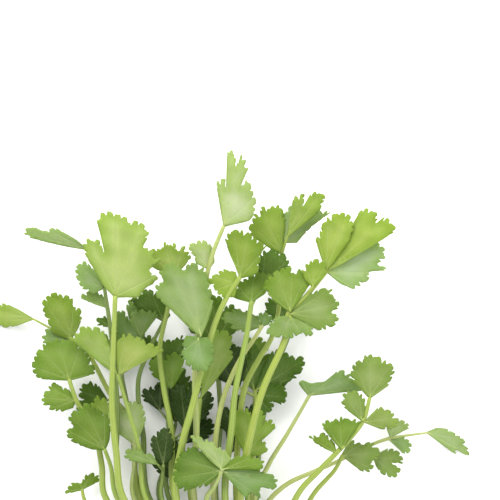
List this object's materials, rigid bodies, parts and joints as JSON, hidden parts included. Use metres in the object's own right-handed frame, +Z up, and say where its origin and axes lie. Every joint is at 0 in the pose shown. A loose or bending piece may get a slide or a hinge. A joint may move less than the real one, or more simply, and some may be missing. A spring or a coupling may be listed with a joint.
{
  "type": "coriander bunch",
  "caption": "Loose bunch of fresh coriander lying on its side: leafy stems gathered at their cut ends and fanning out to lobed, toothed leaves.",
  "frame": {"origin": "bottom centre of the bounding box, on the surface the bunch lies on", "axes": "+Y along the bunch from the cut ends to the leaf tips, +Z up, +X across the bunch"},
  "size_m": [0.1946, 0.2176, 0.0505],
  "materials": {
    "leaf_bright": "fresh yellow-green leaf and stalk, soft satin",
    "leaf_mid": "fresh mid-green leaf and stalk, soft satin",
    "leaf_pale": "pale grey-green leaf and stalk, matte",
    "leaf_dark": "dark green leaf and stalk, soft satin"
  },
  "bodies": {
    "root": {"left_tall": "leaf_bright", "centre_thick": "leaf_mid", "centre_tall": "leaf_pale", "front_low": "leaf_bright", "centre_right": "leaf_mid", "right_main": "leaf_bright", "left_low": "leaf_dark", "left_pair": "leaf_mid", "low_dark": "leaf_dark", "centre_flat": "leaf_pale", "low_bright": "leaf_bright", "right_round": "leaf_mid", "left_broad": "leaf_bright", "left_back": "leaf_dark", "low_pale": "leaf_pale", "inner_bright": "leaf_bright", "centre_folded": "leaf_bright", "right_top": "leaf_bright", "right_edgewise": "leaf_pale", "right_low": "leaf_mid", "low_tiny": "leaf_mid", "left_edge": "leaf_mid", "inner_curly": "leaf_dark", "inner_dark": "leaf_dark", "right_dark": "leaf_dark", "right_far": "leaf_pale", "under_left": "leaf_mid", "inner_small": "leaf_dark", "under_middle": "leaf_mid", "under_right": "leaf_mid"}
  },
  "joints": []
}
